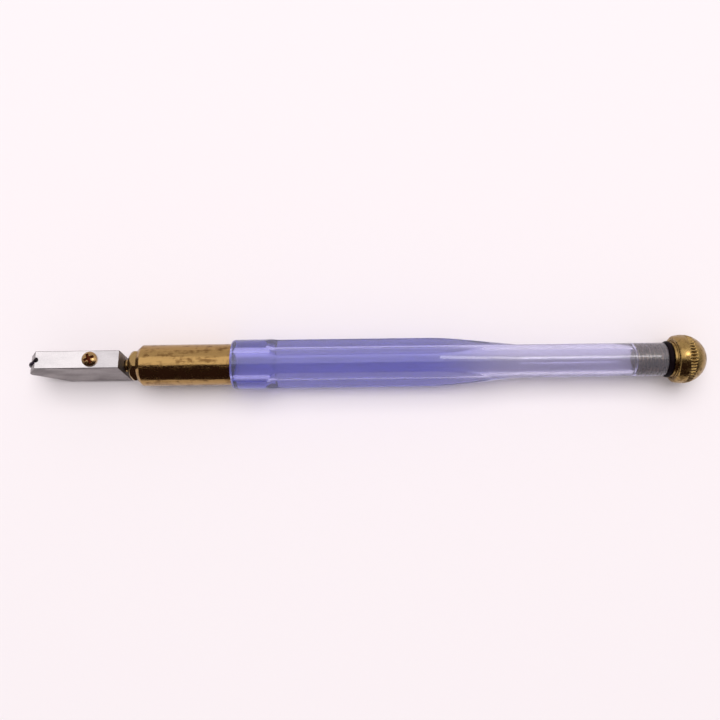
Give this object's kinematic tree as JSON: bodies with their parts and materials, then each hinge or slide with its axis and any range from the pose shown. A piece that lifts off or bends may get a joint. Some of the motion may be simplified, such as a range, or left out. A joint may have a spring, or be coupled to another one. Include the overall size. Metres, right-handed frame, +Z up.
{
  "type": "glass cutter",
  "caption": "Pencil-grip oil-fed glass cutter: steel swivel head with a small wheel, sprung brass spindle and barrel, hollow plastic handle, ball cap.",
  "frame": {"origin": "on the tool's axis, at the middle of the barrel's straight land", "axes": "+X along the tool from the cutting head to the ball cap, +Z up with one long flat of the handle facing down, +Y across"},
  "size_m": [0.1778, 0.0132, 0.0142],
  "materials": {
    "head_steel": "satin, finely ground",
    "carbide": "dark, ground",
    "pin_steel": "satin",
    "spring_steel": "bright wire",
    "screw_brass": "bright, slightly tarnished",
    "turned_brass": "turned",
    "barrel_brass": "polished",
    "cap_brass": "tumbled, aged",
    "seal_rubber": "satin",
    "handle_plastic": "translucent, glossy"
  },
  "bodies": {
    "grip": {"barrel": "barrel_brass", "nose_nut": "turned_brass", "spindle_seal": "seal_rubber", "seal_washer": "turned_brass", "valve_seat": "turned_brass", "return_spring": "spring_steel", "spring_retainer": "turned_brass", "barrel_seal": "seal_rubber", "handle": "handle_plastic"},
    "plunger": {"spindle": "turned_brass", "valve_pad": "seal_rubber", "valve_cap": "turned_brass"},
    "head": {"cutter_head": "head_steel", "wheel_axle": "pin_steel", "head_screw": "screw_brass"},
    "wheel": {"cutting_wheel": "carbide"},
    "cap_ring": {"cap_seal": "seal_rubber"},
    "cap": {"ball_cap": "cap_brass"}
  },
  "joints": [
    {"name": "spindle_press", "type": "slide", "parent": "grip", "child": "plunger", "axis": [1, 0, 0], "range_m": [0, 0.0008], "stiffness_N_per_m": 2500, "springref_m": -0.0008, "deforming": ["return_spring"]},
    {"name": "head_swivel", "type": "hinge", "parent": "plunger", "child": "head", "pos_m": [-0.02365, 0, 0], "axis": [1, 0, 0], "range_deg": [-15, 15]},
    {"name": "wheel_spin", "type": "hinge", "parent": "head", "child": "wheel", "pos_m": [-0.0397, 0.0004, 0.00134], "axis": [0, 0.9588, -0.284], "continuous": true},
    {"name": "cap_lift", "type": "slide", "parent": "grip", "child": "cap_ring", "axis": [1, 0, 0], "range_m": [0, 0.008]},
    {"name": "cap_turn", "type": "hinge", "parent": "cap_ring", "child": "cap", "pos_m": [0.12972, 0, 0], "axis": [1, 0, 0], "range_deg": [0, 2880]}
  ],
  "couplings": [
    {"joint": "cap_turn", "follows": "cap_lift", "rad_per_m": 6283.2}
  ]
}
